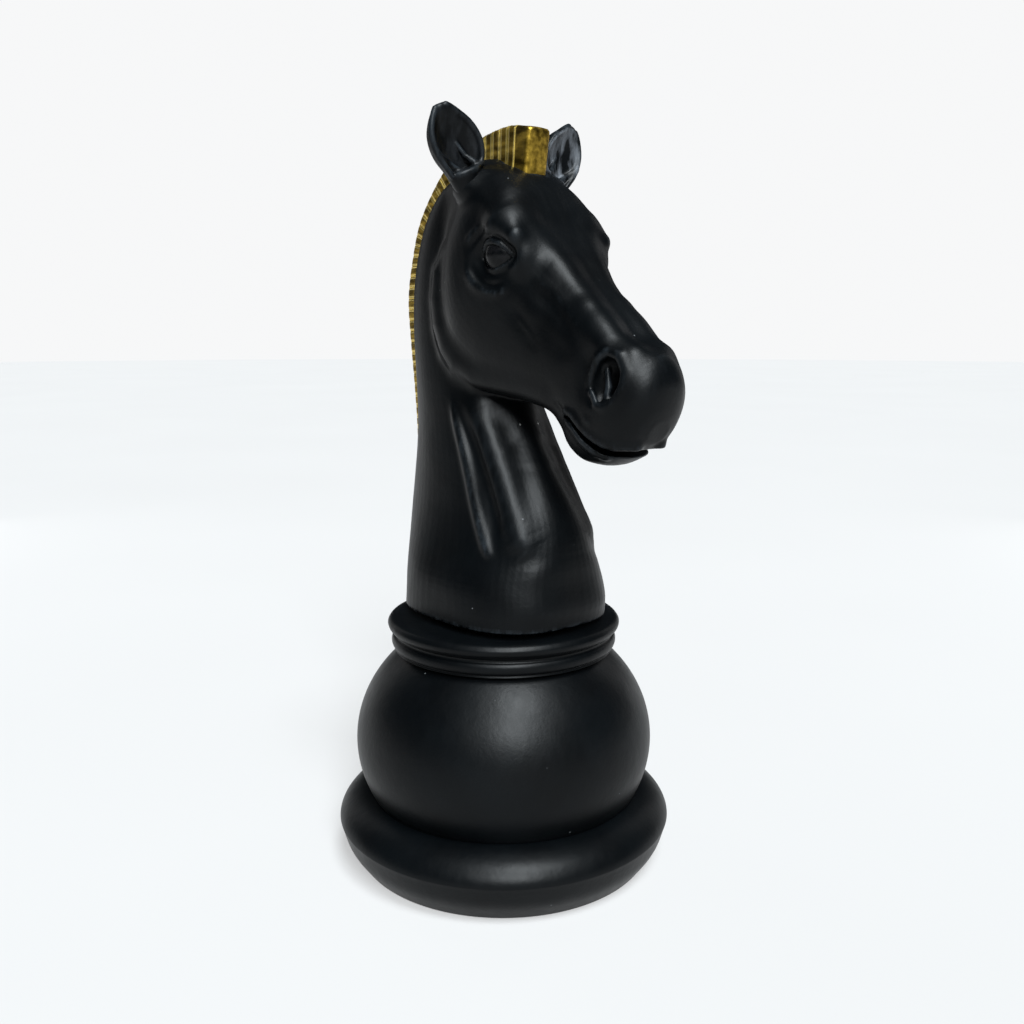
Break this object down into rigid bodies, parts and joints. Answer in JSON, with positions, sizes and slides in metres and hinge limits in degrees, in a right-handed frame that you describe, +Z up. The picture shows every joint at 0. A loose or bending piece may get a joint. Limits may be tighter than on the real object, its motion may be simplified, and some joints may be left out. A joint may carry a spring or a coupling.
{
  "type": "giant chess knight",
  "caption": "Floor-standing chess knight: horse bust with a gilt mane on a collar, ball and weighted plinth with a screw filler plug.",
  "frame": {"origin": "middle of the underside at floor level, on the axis of the turned base", "axes": "+Z up along the axis of the plinth, ball and collar; +X the way the horse faces; +Y its left side"},
  "size_m": [0.2599, 0.2288, 0.4945],
  "materials": {
    "black_paint": "black paint on resin, satin with brush marks",
    "gold_paint": "metallic gold paint, bright along the grooves",
    "eye_gloss": "black gloss",
    "zinc": "zinc plated",
    "rubber": "moulded black rubber",
    "plate_plastic": "moulded dark grey plastic",
    "sand": "dry sand",
    "foam": "rigid foam"
  },
  "bodies": {
    "knight": {"plinth_shell": "black_paint", "ball_shell": "black_paint", "collar_ring": "black_paint", "bust_left_half": "black_paint", "bust_right_half": "black_paint", "left_ear": "black_paint", "right_ear": "black_paint", "mane_crest": "gold_paint", "left_eye": "eye_gloss", "right_eye": "eye_gloss", "tie_rod": "zinc", "lower_nut": "zinc", "upper_nut": "zinc", "lower_washer": "zinc", "anchor_plate": "zinc", "filler_bush": "zinc", "base_screw_1": "zinc", "base_screw_2": "zinc", "base_screw_3": "zinc", "base_screw_4": "zinc", "base_screw_5": "zinc", "base_screw_6": "zinc", "mane_pin_1": "zinc", "mane_pin_2": "zinc", "mane_pin_3": "zinc", "bust_dowel_1": "zinc", "bust_dowel_2": "zinc", "bust_dowel_3": "zinc", "rubber_foot_1": "rubber", "rubber_foot_2": "rubber", "rubber_foot_3": "rubber", "rubber_foot_4": "rubber", "centre_foot": "rubber", "base_plate": "plate_plastic", "centre_tube": "plate_plastic", "sand_ballast": "sand", "bust_core": "foam"},
    "seal": {"plug_o_ring": "rubber"},
    "plug": {"filler_plug": "plate_plastic"}
  },
  "joints": [
    {"name": "plug_travel", "type": "slide", "parent": "knight", "child": "seal", "axis": [0, 0, -1], "range_m": [0, 0.015]},
    {"name": "plug_turn", "type": "hinge", "parent": "seal", "child": "plug", "pos_m": [-0.05, 0, 0.01], "axis": [0, 0, -1], "range_deg": [0, 1800]}
  ],
  "couplings": [
    {"joint": "plug_travel", "follows": "plug_turn", "m_per_rad": 0.00047746}
  ]
}
